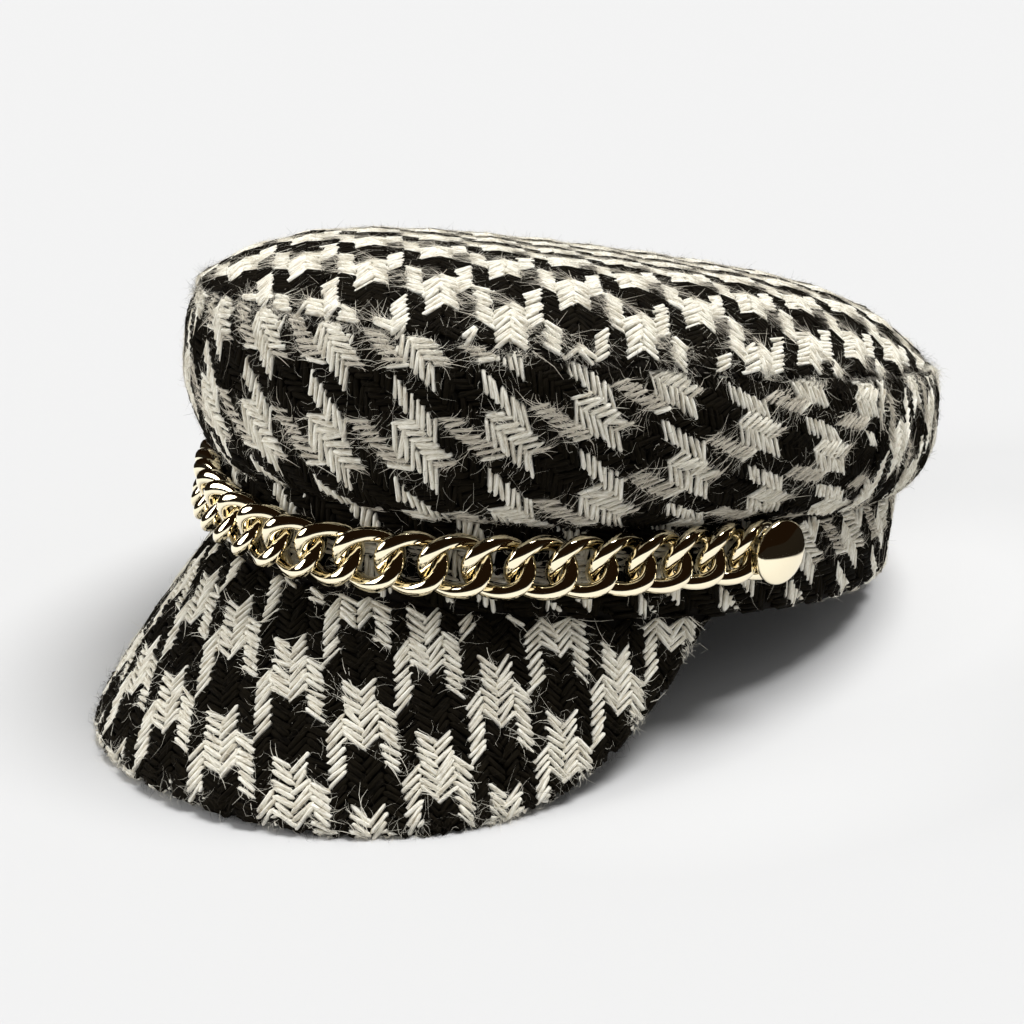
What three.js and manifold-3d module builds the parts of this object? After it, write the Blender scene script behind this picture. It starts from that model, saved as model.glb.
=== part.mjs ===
// Cadet cap in houndstooth cloth with a curb chain over its peak. Millimetres, +Z up.
// The cap is modelled on the plane of its band's lower edge, with the peak towards -Y and the
// wearer's left at +X. It is then tilted to stand on the peak's edge and the back of the band.
import * as THREE from "three";
import { mergeVertices } from "three/addons/utils/BufferGeometryUtils.js";
import Module from "manifold-3d";

const solids = await Module();
solids.setup();

// Driving sizes
const SEAM_GAP = 0.3; // between pieces that meet
const CLOTH = 2.2; // wall of the crown's panels
const REST = { tiltDeg: 11.62, press: 0.6 }; // press is how far soft edges are flattened
const BAND = {
  halfWidth: 79,
  halfLength: 106.8,
  egg: 0.045, // narrows the front
  height: 23.2,
  wall: 2.5,
  steps: 72,
};
const CROWN = { seamHeight: 57.8, seamOut: 7.2, rise: 17.7, shoulder: 5, lean: 0.04, forward: 1.3 };
const PEAK = {
  length: 57.0, // down its slope at the middle
  spanDeg: 68.2, // to each side of the front
  slopeDeg: 54.5, // below the band's plane at the middle
  endSlopeDeg: 17, // added towards the ends
  fullness: 3, // how far round the length holds before it tapers
  taper: 1.15,
  endWidth: 1.4,
  wall: 2.8,
  tuck: 0.4, // set in from the band's face
  bow: 1.2, // swell between its edges
  steps: 38,
  rows: 7,
};
const CHAIN = {
  links: 25,
  wire: 3.3,
  width: 15, // over the wires
  weaveHalf: 1.83, // how far each wire rises and dips to pass its neighbour
  play: 0.36, // slack where two links hook
  sides: 6,
  steps: 14,
};
const BUTTON = { angleDeg: -16, radius: 8, height: 17, shank: 1.5, steps: 16 };
const CHAIN_LINE = { middle: 8.8, power: 1.2 }; // height of the chain on the band, rising to the buttons

// Outer line of the crown's side wall, from the band's top to the top seam
const SIDE_ROWS = [
  { height: BAND.height + SEAM_GAP, out: 1.0 },
  { height: 28.0, out: 5.9 },
  { height: 36.5, out: 9.6 },
  { height: 45.5, out: 10.0 },
  { height: 52.8, out: 9.2 },
  { height: CROWN.seamHeight - SEAM_GAP, out: 7.3 },
];
// Fractions of the way from the crown's centre to its top seam
const TOP_REACH = [0, 0.3, 0.55, 0.72, 0.83, 0.91, 0.96, 1];
// Half section of a button, along its axis outwards from the band
const BUTTON_ROWS = [
  { radius: 0, along: SEAM_GAP },
  { radius: BUTTON.shank, along: SEAM_GAP },
  { radius: BUTTON.shank, along: 7.6 },
  { radius: 7.3, along: 7.6 },
  { radius: BUTTON.radius, along: 8.3 },
  { radius: BUTTON.radius, along: 9.0 },
  { radius: 7.3, along: 9.7 },
  { radius: 4.6, along: 10.7 },
  { radius: 0, along: 11.2 },
];

const rad = THREE.MathUtils.degToRad;
const cloth = new THREE.MeshStandardMaterial({ name: "tweed", color: 0x8f897c, roughness: 0.95 });
const gold = new THREE.MeshStandardMaterial({ name: "gold", color: 0xd9b672, roughness: 0.15, metalness: 1 });

// Vertices of a three.js geometry moved by a function of their own place
function reshape(geometry, move) {
  const place = geometry.attributes.position;
  const p = new THREE.Vector3();
  for (let i = 0; i < place.count; i++) {
    p.fromBufferAttribute(place, i);
    move(p);
    place.setXYZ(i, p.x, p.y, p.z);
  }
  return welded(geometry);
}

function welded(geometry) {
  geometry.deleteAttribute("uv");
  geometry.deleteAttribute("normal");
  const joined = mergeVertices(geometry, 1e-4);
  const flat = [];
  const index = joined.index.array;
  for (let i = 0; i < index.length; i += 3) {
    const [a, b, c] = [index[i], index[i + 1], index[i + 2]];
    if (a !== b && b !== c && c !== a) flat.push(a, b, c);
  }
  joined.setIndex(flat);
  joined.computeVertexNormals();
  return joined;
}

function toSolid(geometry) {
  return new solids.Manifold(new solids.Mesh({
    numProp: 3,
    vertProperties: Float32Array.from(geometry.attributes.position.array),
    triVerts: Uint32Array.from(geometry.index.array),
  }));
}

function toGeometry(solid) {
  const mesh = solid.getMesh();
  const geometry = new THREE.BufferGeometry();
  geometry.setAttribute("position", new THREE.BufferAttribute(Float32Array.from(mesh.vertProperties), 3));
  geometry.setIndex(new THREE.BufferAttribute(Uint32Array.from(mesh.triVerts), 1));
  return geometry;
}

function cutAway(geometry, tool) {
  return toGeometry(toSolid(geometry).subtract(toSolid(welded(tool))));
}

// Place on the band's outline, grown outwards by a distance
function outline(angle, out) {
  const narrow = 1 + BAND.egg * Math.sin(angle);
  return new THREE.Vector2((BAND.halfWidth + out) * narrow * Math.cos(angle), (BAND.halfLength + out) * Math.sin(angle));
}

function outward(angle) {
  const run = outline(angle + 1e-4, 0).sub(outline(angle - 1e-4, 0)).normalize();
  return new THREE.Vector2(run.y, -run.x);
}

// The crown leans: its front stands higher than its back, it sits a little forward and
// it rounds out from the band's egg shape to an even oval
function leanCrown(p) {
  const part = THREE.MathUtils.clamp((p.z - BAND.height) / (CROWN.seamHeight - BAND.height), 0, 1);
  const round = THREE.MathUtils.smoothstep(part, 0, 0.45);
  p.x *= 1 - (round * BAND.egg * p.y) / (BAND.halfLength + BAND.egg * p.y);
  p.y -= CROWN.forward * part;
  p.z -= CROWN.lean * p.y * part;
}

// A half section turned once about Z, its rows as (out, height)
const HUB = 100; // working radius that stands for the band's outline
function turned(rows, steps) {
  const section = rows.map((row) => new THREE.Vector2(HUB + row.x, row.y));
  const ring = new THREE.LatheGeometry(section, steps);
  ring.rotateX(Math.PI / 2);
  return ring;
}

function ontoOutline(p) {
  const angle = Math.atan2(p.y, p.x);
  const place = outline(angle, Math.hypot(p.x, p.y) - HUB);
  p.set(place.x, place.y, p.z);
}

// A line of (out, height) points moved sideways by a wall
function inset(line, wall) {
  return line.map((point, i) => {
    const before = line[Math.max(i - 1, 0)];
    const after = line[Math.min(i + 1, line.length - 1)];
    const run = after.clone().sub(before).normalize();
    return new THREE.Vector2(point.x - run.y * wall, point.y + run.x * wall);
  });
}

// Cloth panels
function bandShape() {
  const { wall, height, steps } = BAND;
  const corners = [[0, 0], [0, height], [-wall, height], [-wall, 0], [0, 0]];
  return reshape(turned(corners.map(([x, y]) => new THREE.Vector2(x, y)), steps), ontoOutline);
}

function sideShape() {
  const curve = new THREE.SplineCurve(SIDE_ROWS.map((row) => new THREE.Vector2(row.out, row.height)));
  const outer = curve.getPoints(7);
  const inner = inset(outer, CLOTH);
  inner[0].set(outer[0].x - CLOTH, outer[0].y);
  const last = outer.length - 1;
  inner[last].set(outer[last].x - CLOTH, outer[last].y);
  const loop = [...outer, ...inner.reverse(), outer[0]];
  return reshape(turned(loop, BAND.steps), (p) => {
    ontoOutline(p);
    leanCrown(p);
  });
}

function topShape() {
  const domeHeight = (reach) => CROWN.rise * (1 - reach ** CROWN.shoulder);
  const outer = TOP_REACH.map((reach) => new THREE.Vector2(reach, CROWN.seamHeight + domeHeight(reach)));
  const inner = outer.map((point) => new THREE.Vector2(point.x * 0.972, point.y - CLOTH * (1 - 0.55 * point.x ** 6)));
  inner[inner.length - 1].y = CROWN.seamHeight;
  const section = [...outer, ...inner.reverse()];
  const dome = new THREE.LatheGeometry(section.reverse(), BAND.steps);
  dome.rotateX(Math.PI / 2);
  return reshape(dome, (p) => {
    const reach = Math.hypot(p.x, p.y);
    if (reach > 1e-6) {
      const edge = outline(Math.atan2(p.y, p.x), CROWN.seamOut);
      p.x = edge.x * reach;
      p.y = edge.y * reach;
    }
    leanCrown(p);
  });
}

function peakShape() {
  const block = new THREE.BoxGeometry(2, 1, 1, PEAK.steps, PEAK.rows, 1);
  return reshape(block, (p) => {
    const side = p.x;
    const down = 0.5 - p.y;
    const deep = 0.5 - p.z;
    const angle = rad(-90 + side * PEAK.spanDeg);
    const slope = rad(PEAK.slopeDeg + PEAK.endSlopeDeg * side * side);
    const fall = PEAK.length * Math.max(1 - Math.abs(side) ** PEAK.fullness, 0) ** PEAK.taper;
    const run = down * Math.max(fall, PEAK.endWidth);
    const swell = PEAK.bow * 4 * down * (1 - down) * (fall / PEAK.length) - deep * PEAK.wall;
    const foot = outline(angle, -PEAK.tuck);
    const out = outward(angle);
    const reach = run * Math.cos(slope) + swell * Math.sin(slope);
    p.set(foot.x + out.x * reach, foot.y + out.y * reach, -SEAM_GAP - run * Math.sin(slope) + swell * Math.cos(slope));
  });
}

// Chain and buttons
class BandArc extends THREE.Curve {
  constructor(out, from, to) {
    super();
    Object.assign(this, { out, from, to });
  }
  angleAt(t) {
    return this.from + (this.to - this.from) * t;
  }
  getPoint(t, target = new THREE.Vector2()) {
    return target.copy(outline(this.angleAt(t), this.out));
  }
}

class CurbLoop extends THREE.Curve {
  constructor(halfLength, halfWidth, weave) {
    super();
    Object.assign(this, { halfLength, halfWidth, weave });
  }
  getPoint(t, target = new THREE.Vector3()) {
    const turn = 2 * Math.PI * t;
    return target.set(
      this.halfLength * Math.cos(turn),
      this.halfWidth * Math.sin(turn),
      -this.weave * Math.sin(2 * turn),
    );
  }
}

// Where a thing on the band's face stands, with X along the band, Y up and Z outwards
function onBand(angle, out, height) {
  const normal = outward(angle);
  const place = outline(angle, 0);
  const along = new THREE.Vector3(-normal.y, normal.x, 0);
  const matrix = new THREE.Matrix4().makeBasis(along, new THREE.Vector3(0, 0, 1), new THREE.Vector3(normal.x, normal.y, 0));
  return matrix.setPosition(place.x + normal.x * out, place.y + normal.y * out, height);
}

function chainHeight(part) {
  return CHAIN_LINE.middle + (BUTTON.height - CHAIN_LINE.middle) * Math.abs(part) ** CHAIN_LINE.power;
}

function addChain(cap) {
  const out = CHAIN.weaveHalf + CHAIN.wire / 2 + SEAM_GAP;
  const line = new BandArc(out, rad(-180 - BUTTON.angleDeg), rad(BUTTON.angleDeg));
  line.arcLengthDivisions = 2000;
  const length = line.getLength();
  const halfWidth = (CHAIN.width - CHAIN.wire) / 2;
  // The end links hook on the buttons' shanks
  const hook = (pitch) => (pitch + CHAIN.wire + CHAIN.play) / 2 - CHAIN.wire / 2 - BUTTON.shank - SEAM_GAP;
  let pitch = length / CHAIN.links;
  for (let pass = 0; pass < 8; pass++) pitch = (length - 2 * hook(pitch)) / (CHAIN.links - 1);
  const halfLength = (pitch + CHAIN.wire + CHAIN.play) / 2;
  const loop = new CurbLoop(halfLength, halfWidth, CHAIN.weaveHalf);
  const wire = welded(new THREE.TubeGeometry(loop, CHAIN.steps, CHAIN.wire / 2, CHAIN.sides, true));
  for (let i = 0; i < CHAIN.links; i++) {
    const run = hook(pitch) + i * pitch;
    const angle = line.angleAt(line.getUtoTmapping(run / length));
    const link = new THREE.Mesh(wire, gold);
    link.name = `chain_link_${String(i + 1).padStart(2, "0")}`;
    const part = (2 * run) / length - 1;
    link.applyMatrix4(onBand(angle, out, chainHeight(part)));
    const rise = (chainHeight(part + 0.01) - chainHeight(part - 0.01)) / (0.01 * length);
    link.rotateZ(Math.atan(rise));
    cap.add(link);
  }
}

function addButtons(cap) {
  const section = BUTTON_ROWS.map((row) => new THREE.Vector2(row.radius, row.along));
  const shape = new THREE.LatheGeometry(section, BUTTON.steps);
  shape.rotateX(Math.PI / 2);
  const head = welded(shape);
  for (const [name, angle] of [["button_right", -180 - BUTTON.angleDeg], ["button_left", BUTTON.angleDeg]]) {
    const button = new THREE.Mesh(head, gold);
    button.name = name;
    button.applyMatrix4(onBand(rad(angle), 0, BUTTON.height));
    cap.add(button);
  }
}

// The cap on its edges, then centred over the origin
const cap = new THREE.Group();
cap.name = "cap";
cap.rotation.x = -rad(REST.tiltDeg);
cap.position.z = BAND.halfLength * Math.sin(rad(REST.tiltDeg)) - REST.press;
cap.updateMatrix();
const ground = () => new THREE.BoxGeometry(600, 600, 40).translate(0, 0, -20).applyMatrix4(cap.matrix.clone().invert());
const half = (side) => new THREE.BoxGeometry(400, 400, 400).translate(0, side * (200 - SEAM_GAP / 2), 0);

function addCloth(name, geometry) {
  const mesh = new THREE.Mesh(geometry, cloth);
  mesh.name = name;
  cap.add(mesh);
}

addCloth("crown_top", topShape());
addCloth("crown_side_front", cutAway(sideShape(), half(1)));
addCloth("crown_side_back", cutAway(sideShape(), half(-1)));
addCloth("band", cutAway(bandShape(), ground()));
addCloth("peak", cutAway(peakShape(), ground()));
addChain(cap);
addButtons(cap);

const group = new THREE.Group();
group.name = "cadet_cap";
group.add(cap);
group.updateMatrixWorld(true);
const box = new THREE.Box3().setFromObject(group, true);
cap.position.x -= (box.min.x + box.max.x) / 2;
cap.position.y -= (box.min.y + box.max.y) / 2;

export default group;
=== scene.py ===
import math
import bpy
import numpy as np
from mathutils import Matrix, Vector


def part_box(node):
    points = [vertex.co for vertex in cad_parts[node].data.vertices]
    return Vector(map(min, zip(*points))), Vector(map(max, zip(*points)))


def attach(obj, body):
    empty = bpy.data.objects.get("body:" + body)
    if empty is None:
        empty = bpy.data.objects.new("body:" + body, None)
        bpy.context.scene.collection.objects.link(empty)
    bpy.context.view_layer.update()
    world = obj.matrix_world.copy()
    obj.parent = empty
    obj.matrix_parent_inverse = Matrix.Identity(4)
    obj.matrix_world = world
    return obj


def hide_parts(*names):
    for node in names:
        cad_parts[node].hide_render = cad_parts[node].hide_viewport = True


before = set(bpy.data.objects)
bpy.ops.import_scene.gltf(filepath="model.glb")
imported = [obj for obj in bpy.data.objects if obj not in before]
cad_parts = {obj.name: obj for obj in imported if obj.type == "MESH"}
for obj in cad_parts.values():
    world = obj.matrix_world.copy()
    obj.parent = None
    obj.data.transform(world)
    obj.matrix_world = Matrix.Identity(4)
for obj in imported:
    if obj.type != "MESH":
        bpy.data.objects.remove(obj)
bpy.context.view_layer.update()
print("frame loaded:", len(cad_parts), "solids")

mm = 0.001
tiny = 1e-9  # keeps a length from being nought
floorClear = 0.05 * mm
rng = np.random.default_rng(7)

# The cap's own sizes in millimetres, on the plane of the band's lower edge, peak towards -Y
capShape = {
    "tiltDeg": 11.62,
    "press": 0.6,  # how far its rests are flattened by the floor
    "halfWidth": 79.0,
    "halfLength": 106.8,
    "egg": 0.045,  # how much narrower the front is
    "eggFade": 0.45,  # share of the side wall over which the crown grows even
    "bandHeight": 23.2,
    "bandWall": 2.5,
    "bandRound": 0.7,
    "clothWall": 2.2,
    "clothRound": 0.5,
    "sideMean": 8.0,  # where the side's length is measured, out from the band
    "seamHeight": 57.8,
    "seamOut": 7.2,
    "rise": 17.7,
    "shoulder": 5.0,  # power of the dome's curve
    "lean": 0.04,
    "forward": 1.3,
    "sideHeights": [23.5, 28.0, 36.5, 45.5, 52.8, 57.5],
    "sideOuts": [1.0, 5.9, 9.6, 10.0, 9.2, 7.3],
}
tilt = math.radians(capShape["tiltDeg"])
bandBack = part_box("band")[1][1] / mm
capShift = bandBack - capShape["halfLength"] * math.cos(tilt) - capShape["bandHeight"] * math.sin(tilt)
capLift = capShape["halfLength"] * math.sin(tilt) - capShape["press"]


# cap plane to the row frame, in metres
def toRow(points):
    x, y, z = points[..., 0], points[..., 1], points[..., 2]
    across = y * math.cos(tilt) + z * math.sin(tilt) + capShift
    up = -y * math.sin(tilt) + z * math.cos(tilt) + capLift
    return np.stack([x, across, up], -1) * mm


def outline(angle, out):
    narrow = 1 + capShape["egg"] * np.sin(angle)
    x = (capShape["halfWidth"] + out) * narrow * np.cos(angle)
    y = (capShape["halfLength"] + out) * np.sin(angle)
    return x, y


def outward(angle):
    step = 1e-4
    x1, y1 = outline(angle + step, 0.0)
    x0, y0 = outline(angle - step, 0.0)
    run = np.hypot(x1 - x0, y1 - y0)
    return (y1 - y0) / run, -(x1 - x0) / run


def smoothStep(x, low, high):
    t = np.clip((x - low) / (high - low), 0, 1)
    return t * t * (3 - 2 * t)


def unit(vectors):
    return vectors / np.maximum(np.linalg.norm(vectors, axis=-1, keepdims=True), tiny)


def leanCrown(x, y, z):
    part = np.clip((z - capShape["bandHeight"]) / (capShape["seamHeight"] - capShape["bandHeight"]), 0, 1)
    egg = capShape["egg"]
    x = x * (1 - smoothStep(part, 0, capShape["eggFade"]) * egg * y / (capShape["halfLength"] + egg * y))
    y = y - capShape["forward"] * part
    z = z - capShape["lean"] * y * part
    return np.stack([x, y, z], -1)


# Angle on the outline for a length along it from the front, wearer's left positive
arcAngles = np.linspace(-math.pi * 1.5, math.pi * 0.5, 4001)


def arcTable(out):
    x, y = outline(arcAngles, out)
    steps = np.hypot(np.diff(x), np.diff(y))
    length = np.concatenate([[0], np.cumsum(steps)])
    return length - np.interp(-math.pi / 2, arcAngles, length)


bandArc = arcTable(0.0)
sideArc = arcTable(capShape["sideMean"])
girth = sideArc[-1] - sideArc[0]


# A line of (out, height) whose ends turn in over the cloth's edge, as a table over length
def rolledLine(line, wall, radius, bodySteps=160, turnSteps=10):
    run = np.concatenate([[0], np.cumsum(np.hypot(*np.diff(line, axis=0).T))])
    keep = np.linspace(radius, run[-1] - radius, bodySteps)
    body = np.stack([np.interp(keep, run, line[:, k]) for k in (0, 1)], -1)
    turn = np.linspace(0, math.pi / 2, turnSteps)[1:, None]
    upward = body[-1] - body[-2]  # both edges turn in square to the cloth's upper end
    normal = np.array([upward[1], -upward[0]]) / np.hypot(*upward)

    def edge(end, ahead):
        heading = (end - ahead) / np.hypot(*(end - ahead))
        arc = end - normal * radius + radius * (np.cos(turn) * normal + np.sin(turn) * heading)
        return np.concatenate([arc, [arc[-1] - normal * (wall - radius)]])

    low, top = edge(body[0], body[1]), edge(body[-1], body[-2])
    full = np.concatenate([low[::-1], body, top])
    length = np.concatenate([[0], np.cumsum(np.hypot(*np.diff(full, axis=0).T))])
    return full, length - length[len(low)], keep[-1] - keep[0]


# Catmull-Rom through the side wall's rows
def throughRows(outs, heights, count=120):
    pts = np.stack([outs, heights], -1)
    t = np.linspace(0, len(pts) - 1, count)
    i = np.minimum(t.astype(int), len(pts) - 2)
    w = (t - i)[:, None]
    p0 = pts[np.maximum(i - 1, 0)]
    p1 = pts[i]
    p2 = pts[i + 1]
    p3 = pts[np.minimum(i + 2, len(pts) - 1)]
    v0 = (p2 - p0) / 2
    v1 = (p3 - p1) / 2
    cubic = (2 * p1 - 2 * p2 + v0 + v1) * w ** 3 + (-3 * p1 + 3 * p2 - 2 * v0 - v1) * w ** 2
    return cubic + v0 * w + p1


sideLine = throughRows(np.array(capShape["sideOuts"]), np.array(capShape["sideHeights"]))
sideRoll, sideRun, sideReach = rolledLine(sideLine, capShape["clothWall"], capShape["clothRound"])
bandRise = np.linspace(0, capShape["bandHeight"], 40)
bandLine = np.stack([0 * bandRise, bandRise], -1)
bandRoll, bandRun, bandReach = rolledLine(bandLine, capShape["bandWall"], capShape["bandRound"])


# The crown hangs a little over the band at the front, clear of the chain's ends
droop = {
    "depth": 2.2,
    "fullDeg": 40.0,
    "noneDeg": 66.0,
    "fullHeight": 26.0,
    "noneHeight": 38.0,
    "wavy": 0.35,
    "waves": [(9, 0.6, 1.0), (17, 2.0, 0.7)],  # waves round the hem, start, share
}


def hang(angle, height):
    off = np.abs(np.degrees(np.mod(angle + math.pi * 1.5, 2 * math.pi) - math.pi))
    share = 1 - smoothStep(off, droop["fullDeg"], droop["noneDeg"])
    wave = sum(part * np.sin(count * angle + start) for count, start, part in droop["waves"])
    drop = droop["depth"] * share + droop["wavy"] * wave
    return height - drop * (1 - smoothStep(height, droop["fullHeight"], droop["noneHeight"]))


def sidePlace(angle, out, height):
    x, y = outline(angle, out)
    return leanCrown(x, y, hang(angle, height))


def bandPlace(angle, out, height):
    x, y = outline(angle, out)
    return np.stack([x, y, height], -1)


# Each cloth takes flat (u, v) in millimetres to a place on the cap plane
def sideCloth(u, v):
    out, height = [np.interp(v, sideRun, sideRoll[:, k]) for k in (0, 1)]
    return sidePlace(np.interp(u, sideArc, arcAngles), out, height)


def bandCloth(u, v):
    out, height = [np.interp(v, bandRun, bandRoll[:, k]) for k in (0, 1)]
    return bandPlace(np.interp(u, bandArc, arcAngles), out, height)


topHalf = [capShape[key] + capShape["seamOut"] for key in ("halfWidth", "halfLength")]
topSteep = capShape["shoulder"] * capShape["rise"]
topOrder = 2 * capShape["shoulder"] - 1  # order of the dome's length in its reach
topEdge = {
    "lift": 0.2,
    "drop": 1.0,  # past the seam the cloth rolls under
    "deep": 3.0,
    "tuck": 0.012,
    "roundFrom": 0.985,
    "round": 0.004,
    "past": 1.2,
    "floats": 0.984,
    "rim": 0.955,
}


def topBearing(u, v):
    a, b = topHalf
    bearing = np.arctan2(v, u)
    angle = np.arctan2(np.sin(bearing) / b, np.cos(bearing) / a)
    return angle, np.hypot(a * np.cos(angle), b * np.sin(angle))


def topCloth(u, v):
    far = np.hypot(u, v)
    angle, radius = topBearing(u, v)
    reach = np.clip(far / radius, 0, 1.1)
    for _ in range(5):
        miss = radius * reach + topSteep ** 2 * reach ** topOrder / (2 * topOrder * radius) - far
        reach = reach - miss / (radius + topSteep ** 2 * reach ** (topOrder - 1) / (2 * radius))
    inner = np.minimum(reach, 1.0)
    over = np.maximum(reach - 1.0, 0) * radius
    x = topHalf[0] * np.cos(angle) * inner
    y = topHalf[1] * np.sin(angle) * inner
    dome = capShape["rise"] * (1 - inner ** capShape["shoulder"])
    z = capShape["seamHeight"] + topEdge["lift"] + dome - np.minimum(over, topEdge["drop"])
    under = np.minimum(over, topEdge["deep"]) / topEdge["deep"] * topEdge["tuck"]
    pull = 1 - under - smoothStep(reach, topEdge["roundFrom"], 1.0) * topEdge["round"]
    return leanCrown(x * pull, y * pull, z)


peakShape = {
    "length": 57.0,
    "spanDeg": 68.2,
    "slopeDeg": 54.5,
    "endSlopeDeg": 17.0,
    "fullness": 3.0,
    "taper": 1.15,
    "endWidth": 1.4,
    "wall": 2.8,
    "tuck": 0.4,
    "bow": 1.2,
    "gap": 0.3,
}
peakArc = arcTable(-peakShape["tuck"])


def peakFall(side):
    share = np.maximum(1 - np.abs(side) ** peakShape["fullness"], 0)
    return np.maximum(peakShape["length"] * share ** peakShape["taper"], peakShape["endWidth"])


# side runs from end to end, run down the slope and round the edge to the underside
def peakSurface(side, run):
    angle = np.radians(-90 + side * peakShape["spanDeg"])
    slope = np.radians(peakShape["slopeDeg"] + peakShape["endSlopeDeg"] * side ** 2)
    fall = peakFall(side)
    half = peakShape["wall"] / 2
    edge = fall - half
    bend = math.pi * half
    past = np.clip(run - edge, 0, bend) / half
    under = np.maximum(run - edge - bend, 0)
    along = np.minimum(run, edge) + half * np.sin(past) - under
    deep = half * (1 - np.cos(past))
    down = np.clip(along / fall, 0, 1)
    swell = peakShape["bow"] * 4 * down * (1 - down) * (fall / peakShape["length"]) - deep
    x, y = outline(angle, -peakShape["tuck"])
    nx, ny = outward(angle)
    reach = along * np.cos(slope) + swell * np.sin(slope)
    z = -peakShape["gap"] - along * np.sin(slope) + swell * np.cos(slope)
    return np.stack([x + nx * reach, y + ny * reach, z], -1)


# Twill yarns, sizes across in yarn spacings and heights in millimetres
weave = {
    "over": 4,  # yarns each float passes over
    "group": 8,  # yarns of one colour side by side
    "step": 5,  # where the twill's diagonal starts
    "lightWide": 0.57,
    "darkWide": 0.62,
    "halfLong": 2.34,
    "thick": 0.56,
    "combed": 0.68,  # how slim a brushed float is under its strands
    "darkStand": 0.09,  # how much the dark floats stand above the light
    "backing": 0.55,  # backing cloth below the face
    "grainSpread": 400,  # room for each float's own place in the grain
    "vary": {"wide": 0.09, "reach": 0.1, "thick": 0.16, "stand": 0.07,
             "lean": 0.09, "bow": 0.1, "place": 0.09},
}
# stations along a float: place, size, sink
floatRows = np.array([[-1.0, 0.34, 0.36], [-0.72, 0.95, 0.04], [0.72, 0.95, 0.04], [1.0, 0.34, 0.36]])
# sections of a light and a dark float
roundRings = np.array([[[-1.0, -0.6], [-0.56, 0.58], [0.0, 1.0], [0.56, 0.58], [1.0, -0.6]],
                       [[-1.0, -0.9], [-0.72, 0.62], [0.0, 1.0], [0.72, 0.62], [1.0, -0.9]]])
plainRings = np.array([[[-1.0, -0.6], [-0.44, 0.9], [0.44, 0.9], [1.0, -0.6]],
                       [[-1.0, -0.9], [-0.58, 0.9], [0.58, 0.9], [1.0, -0.9]]])


# Yarn numbers (i across, j along the warp) to a panel's own (u, v), through its flat pattern
def yarnSpot(grain, i, j):
    across = np.array(grain["across"]) / (2 * weave["group"])
    along = np.array(grain["along"]) / (2 * weave["group"])
    middle = (weave["group"] - 1) / 2
    x = grain["tooth"][0] + (i - middle) * across[0] + (j - middle) * along[0]
    y = grain["tooth"][1] + (i - middle) * across[1] + (j - middle) * along[1]
    radius = grain.get("radius")
    if not radius:
        return x, y
    return radius * np.arctan2(x, y + radius) + grain.get("shift", 0.0), np.hypot(x, y + radius) - radius


def clothNormal(panel, u, v):
    step = 0.25
    cloth = panel["cloth"]
    alongU = cloth(u + step, v) - cloth(u - step, v)
    alongV = cloth(u, v + step) - cloth(u, v - step)
    return panel.get("facing", 1.0) * unit(np.cross(alongU, alongV))


# Points above a panel from yarn numbers and heights
def abovePanel(panel, i, j, high):
    u, v = yarnSpot(panel["grain"], i, j)
    u, v = panel["limit"](u, v)
    return panel["cloth"](u, v) + clothNormal(panel, u, v) * high[..., None]


# Every float of one panel: middle in yarn numbers, warp or weft, light or dark
def twillFloats(panel):
    n = weave["over"]
    spread = panel["yarns"]
    found = []
    for isWarp in (True, False):
        yarns = np.arange(-spread, spread)
        turns = np.arange(-spread // (2 * n), spread // (2 * n))
        own, turn = np.meshgrid(yarns, turns, indexing="ij")
        diagonal = np.mod(own + panel["grain"].get("step", weave["step"]), 2 * n)
        mid = 2 * n * turn - diagonal + (0 if isWarp else n) + (n - 1) / 2
        i, j = (own, mid) if isWarp else (mid, own)
        i, j = i.reshape(-1).astype(float), j.reshape(-1).astype(float)
        light = ~overDark(own.reshape(-1))
        keep = panel["inside"](*yarnSpot(panel["grain"], i, j))
        found.append((i[keep], j[keep], np.full(keep.sum(), isWarp), light[keep]))
    return [np.concatenate(part) for part in zip(*found)]


def overDark(i):
    return np.mod(i, 2 * weave["group"]) >= weave["group"]


# Weft floats over the dark warp, brushed soft on some panels
def combedLegs(panel, i, isWarp):
    return panel["combed"] & ~isWarp & overDark(i)


# The light and the dark checks swell towards their middles
def checkPillow(panel, i, j):
    group = weave["group"]
    rise = 0.0
    for middle, swell in zip((group / 2 - 0.5, 1.5 * group - 0.5), panel["pillow"]):
        awayI = (np.mod(i - middle + group, 2 * group) - group) / (group / 2)
        awayJ = (np.mod(j - middle + group, 2 * group) - group) / (group / 2)
        rise = rise + swell * np.maximum(1 - awayI ** 2, 0) * np.maximum(1 - awayJ ** 2, 0)
    return rise


# A grid of points closed round its first axis if asked, and round its second if asked
def gridFaces(rows, cols, closeRows, closeCols):
    r = np.arange(rows if closeRows else rows - 1)
    c = np.arange(cols if closeCols else cols - 1)
    rr, cc = np.meshgrid(r, c, indexing="ij")
    r2, c2 = (rr + 1) % rows, (cc + 1) % cols
    return np.stack([rr * cols + cc, rr * cols + c2, r2 * cols + c2, r2 * cols + cc], -1).reshape(-1, 4)


# The first and the last ring of a tube
def endCaps(rows, cols):
    return np.array([list(range(cols))[::-1], list(range((rows - 1) * cols, rows * cols))])


# A fan from one column of a closed grid to a middle point
def fanFaces(rows, cols, col, middle, flip):
    i = np.arange(rows)
    j = (i + 1) % rows
    first, second = (j, i) if flip else (i, j)
    return np.stack([first * cols + col, second * cols + col, np.full(rows, middle)], -1)


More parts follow.
